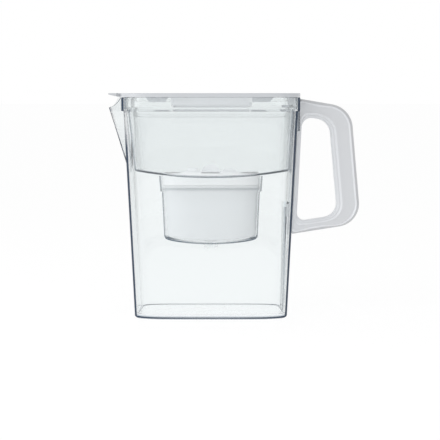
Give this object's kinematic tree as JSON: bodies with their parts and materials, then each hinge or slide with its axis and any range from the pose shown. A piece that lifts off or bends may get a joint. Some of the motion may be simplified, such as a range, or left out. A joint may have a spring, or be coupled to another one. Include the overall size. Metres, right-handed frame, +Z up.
{
  "type": "water filter pitcher with flip lid",
  "caption": "Slim clear filter pitcher: jug with V spout and loop handle, lift-out hopper with an oval filter cartridge, flat lid with a refill flap and a spout flap.",
  "frame": {"origin": "centre of the jug's flat underside, on the surface it stands on", "axes": "+X towards the handle, -X towards the spout, +Y to the back as the picture shows it, +Z up"},
  "size_m": [0.2626, 0.106, 0.232],
  "materials": {
    "clear_jug": "clear moulded styrene acrylonitrile, polished",
    "clear_hopper": "clear moulded styrene acrylonitrile, faintly grey",
    "white_handle": "white moulded polypropylene, satin",
    "white_lid": "white moulded polypropylene, satin",
    "cartridge_white": "white moulded polypropylene",
    "seal": "soft silicone",
    "screen": "fine non-woven mesh",
    "media": "packed granules"
  },
  "bodies": {
    "jug": {"jug": "clear_jug", "handle": "white_handle"},
    "hopper": {"hopper": "clear_hopper"},
    "cartridge": {"cartridge_shell": "cartridge_white", "cartridge_cap": "cartridge_white", "cartridge_seal": "seal", "inlet_screen": "screen", "outlet_screen": "screen", "filter_media": "media"},
    "lid": {"lid": "white_lid"},
    "refill_flap": {"refill_flap": "white_lid"},
    "spout_flap": {"spout_flap": "white_lid"}
  },
  "joints": [
    {"name": "hopper_lift", "type": "slide", "parent": "jug", "child": "hopper", "axis": [0, 0, 1], "range_m": [0, 0.17]},
    {"name": "cartridge_lift", "type": "slide", "parent": "hopper", "child": "cartridge", "axis": [0, 0, 1], "range_m": [0, 0.05]},
    {"name": "lid_lift", "type": "slide", "parent": "hopper", "child": "lid", "axis": [0, 0, 1], "range_m": [0, 0.06]},
    {"name": "refill_flap_hinge", "type": "hinge", "parent": "lid", "child": "refill_flap", "pos_m": [-0.0368, 0, 0.23], "axis": [0, -1, 0], "range_deg": [0, 100]},
    {"name": "spout_flap_hinge", "type": "hinge", "parent": "lid", "child": "spout_flap", "pos_m": [-0.0948, 0, 0.23], "axis": [0, 1, 0], "range_deg": [0, 60]}
  ]
}
